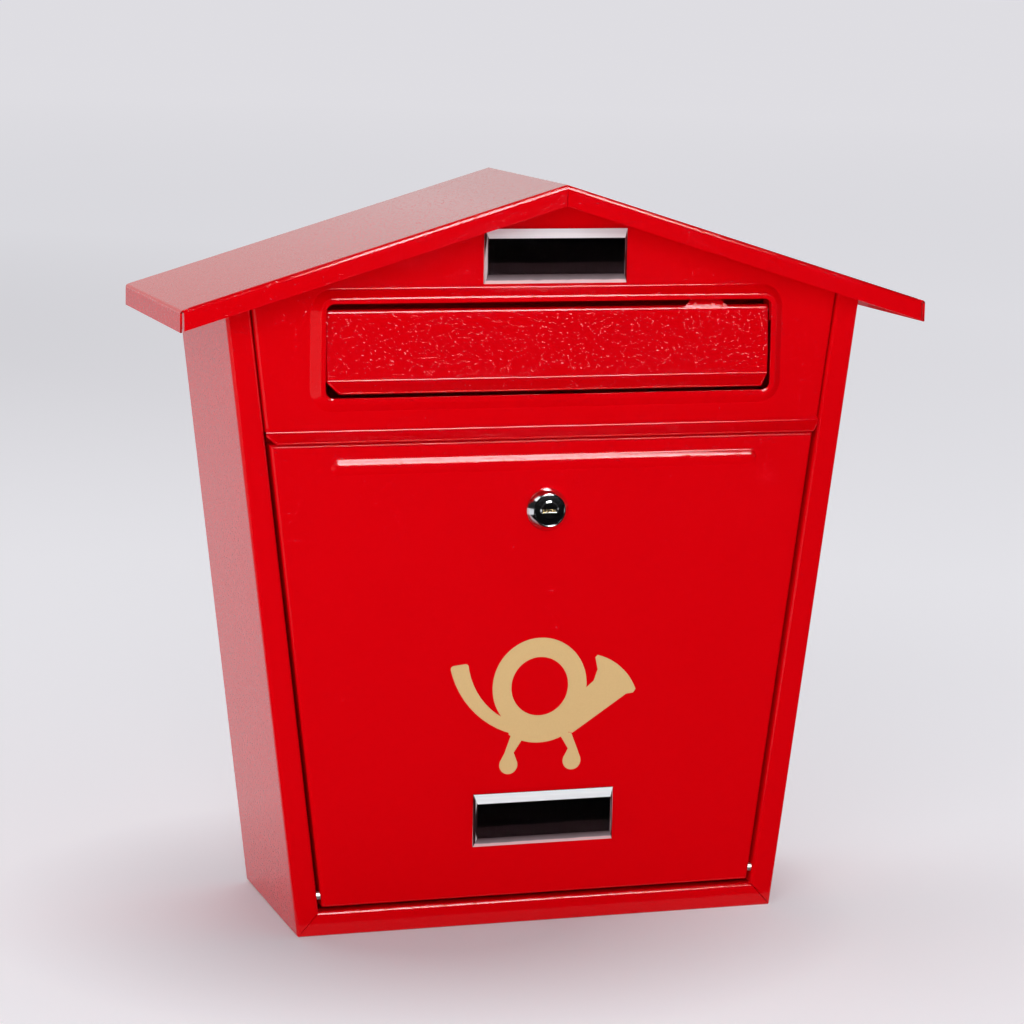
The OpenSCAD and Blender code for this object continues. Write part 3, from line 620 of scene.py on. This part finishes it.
def makeEnd():
    # Clear end of a cover with fine upright streaks of painted highlight
    k = windows
    shader = Shader("clearEnd", IOR=1.3, Roughness=0.2, Alpha=k["endAlpha"])
    streak = shader.noise(k["endScale"], detail=1.0, vector=shader.stretched(k["endStretch"]))
    lines = shader.ramp(streak, [(k["endLines"][0], grey(0)), (k["endLines"][1], grey(1))])
    shader.feed("Base Color", shader.mixed(lines, k["end"], k["endHighlight"]))
    return shader.material


sheen, clearEnd = makePaintedSheen(), makeEnd()


def makeWindow(node):
    piece = finished(camel(node), mergedCopy(node, 0.004 * mm, 0.5), node, "clear_cover")
    paintedEdgeLight = makePaintedEdgeLight(camel(node) + "Edge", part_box(node)[0][2])
    for material in (sheen, paintedEdgeLight, clearEnd):
        piece.data.materials.append(material)
    # Faces take their painted light by the way they face: painted reflection on the upper slope, painted
    # edge glow below, painted highlight streaks on the ends
    for face in piece.data.polygons:
        n = face.normal
        forward = n.y < -0.3
        if forward and n.z > 0.2:  # upper slope
            face.material_index = 1
        elif (forward and n.z < -0.2) or n.z < -0.9:  # lower slope and bottom
            face.material_index = 2
        elif n.y < 0.5 and abs(n.x) > 0.3:  # left and right ends
            face.material_index = 3
    piece.data.set_sharp_from_angle(angle=math.radians(windows["sharpAngle"]))


makeWindow("upper_label_cover")
makeWindow("lower_label_cover")
print("label windows made")

# Everything else keeps its CAD shape and takes a finish
kept = {
    "horn_emblem": "gold_foil",
    "lock_nut": "zinc_steel",
    "lock_cam": "zinc_steel",
    "cam_screw": "zinc_steel",
}
cards = ["upper_label_card", "lower_label_card"]
for node, finish in kept.items():
    coat(frame["nodes"][node], materials[finish])
for node in cards:
    coat(frame["nodes"][node], makeCard(node))
print("kept nodes coated:", len(kept) + len(cards))

# Stage: one pale floor under soft studio light, in metres
stage = {
    "floorRadius": 40.0,
    "floor": (0.62, 0.61, 0.63, 1),
    "cloudScale": 1.3,
    "cloudShade": 0.97,
    # The floor glows with painted light to even it out, as a bright studio does: the glow is dimmer close
    # beside the box, a painted contact shadow, and brighter far away, with painted shade darkening it
    # towards the left behind the box
    "nearMiddle": (-0.05, 0.0, 0.0),
    "nearStops": [(0.08, grey(0)), (0.22, grey(0.8)), (1.0, grey(1))],
    "paintedShadowGlow": (0.14, 0.125, 0.14, 1),
    "farMiddle": (-1.5, 1.5, 0.0),
    "farShare": 0.1,  # the stops below are in tens of metres
    "farStops": [(0.18, (0.44, 0.44, 0.46, 1)), (0.32, (0.54, 0.54, 0.565, 1)),
                 (0.8, (0.59, 0.585, 0.61, 1))],
    "background": (0.73, 0.723, 0.76, 1),
    "ambient": 0.32,
    "reflected": 0.03,
}


def staged(name, bm, material):
    thing = placed(name, bm, material)
    return thing


def makeFloor():
    k = stage
    bm = bmesh.new()
    bmesh.ops.create_circle(bm, cap_ends=True, radius=k["floorRadius"], segments=96)
    shader = Shader("paleFloor", Roughness=0.7, Specular_IOR_Level=0.0, Emission_Strength=1.0)
    cloud = shader.noise(k["cloudScale"])
    # Painted contact shadow: the glow is dimmer close beside the box
    near = shader.ramp(shader.distance(k["nearMiddle"]), k["nearStops"])
    # Painted shade: the far glow darkens towards the left behind the box
    far = shader.ramp(shader.distance(k["farMiddle"]) * k["farShare"], k["farStops"])
    shader.feed("Emission Color", shader.mixed(near, k["paintedShadowGlow"], far))
    shader.feed("Base Color", shader.mixed(cloud, shaded(k["floor"], k["cloudShade"]), k["floor"]))
    staged("floor", bm, shader.material)


def makeWorld():
    # The background's strength depends on what sees it: diffuse light, reflections or the camera
    world = bpy.data.worlds.new("studio")
    bpy.context.scene.world = world
    world.use_nodes = True
    tree = world.node_tree
    seen = tree.nodes.new("ShaderNodeLightPath")
    previous = tree.nodes["Background"]
    previous.inputs["Color"].default_value = stage["background"]
    previous.inputs["Strength"].default_value = stage["ambient"]
    for ray, strength in (("Is Glossy Ray", stage["reflected"]), ("Is Camera Ray", 1.0)):
        light = tree.nodes.new("ShaderNodeBackground")
        light.inputs["Color"].default_value = stage["background"]
        light.inputs["Strength"].default_value = strength
        mix = tree.nodes.new("ShaderNodeMixShader")
        tree.links.new(seen.outputs[ray], mix.inputs[0])
        tree.links.new(previous.outputs[0], mix.inputs[1])
        tree.links.new(light.outputs[0], mix.inputs[2])
        previous = mix
    tree.links.new(previous.outputs[0], tree.nodes["World Output"].inputs[0])


# Soft boxes, in metres. Gloss or diffuse False hides a lamp from that kind of light.
lamps = {
    "keyBox": {
        "place": (-0.95, -1.75, 0.95), "aim": (0, -0.04, 0.2),
        "size": (1.4, 1.2), "glow": 4.0, "gloss": False,
    },
    "topBox": {
        "place": (-0.25, 0.6, 2.2), "aim": (0, 0, 0.2),
        "size": (1.6, 1.2), "glow": 2.4, "gloss": False,
    },
    "glintBox": {
        "place": (0.42, -1.45, 1.42), "aim": (0, -0.04, 0.25),
        "size": (0.66, 1.5), "glow": 26, "diffuse": False,
    },
    "sparkBox": {
        "place": (0.57, -1.8, 0.86), "aim": (0, -0.04, 0.25),
        "size": (0.64, 0.4), "glow": 13, "diffuse": False,
    },
    "upperLeftBox": {
        "place": (-1.3, -0.25, 1.75), "aim": (0, 0, 0.2),
        "size": (1.1, 0.9), "glow": 1.3, "diffuse": False,
    },
    "rearBox": {
        "place": (0.2, 3.0, 1.8), "aim": (0, 0, 0.9),
        "size": (6.0, 3.4), "glow": 0.74, "diffuse": False,
    },
}


def makeLamps():
    for name, lamp in lamps.items():
        data = bpy.data.lights.new(name, "AREA")
        data.shape = "RECTANGLE"
        data.size, data.size_y = lamp["size"]
        data.energy = lamp["glow"] * math.pi * data.size * data.size_y
        box = bpy.data.objects.new(name, data)
        bpy.context.collection.objects.link(box)
        box.location = lamp["place"]
        box.rotation_mode = "QUATERNION"
        box.rotation_quaternion = (Vector(lamp["aim"]) - box.location).to_track_quat("-Z", "Y")
        box.visible_camera = False
        box.visible_glossy = lamp.get("gloss", True)
        box.visible_diffuse = lamp.get("diffuse", True)


# Black flags in front of the box, hidden from the camera, which its reflections see
flags = {
    "floorFlag": [(-0.45, -4.0, 0.004), (3.5, -4.0, 0.004), (3.5, -0.05, 0.004), (-0.45, -0.05, 0.004)],
    "backFlag": [(-2.5, -4.0, 0.0), (3.5, -4.0, 0.0), (3.5, -4.0, 0.6), (-2.5, -4.0, 0.6)],
}


def makeFlags():
    shader = Shader("blackFlag", Roughness=1.0, Base_Color=grey(0.002), Specular_IOR_Level=0.0)
    for name, corners in flags.items():
        bm = bmesh.new()
        bm.faces.new([bm.verts.new(c) for c in corners])
        flag = staged(name, bm, shader.material)
        flag.visible_camera = flag.visible_diffuse = flag.visible_shadow = False


makeFloor()
makeWorld()
makeLamps()
makeFlags()
bpy.context.scene.view_settings.view_transform = "Standard"
print("stage set")
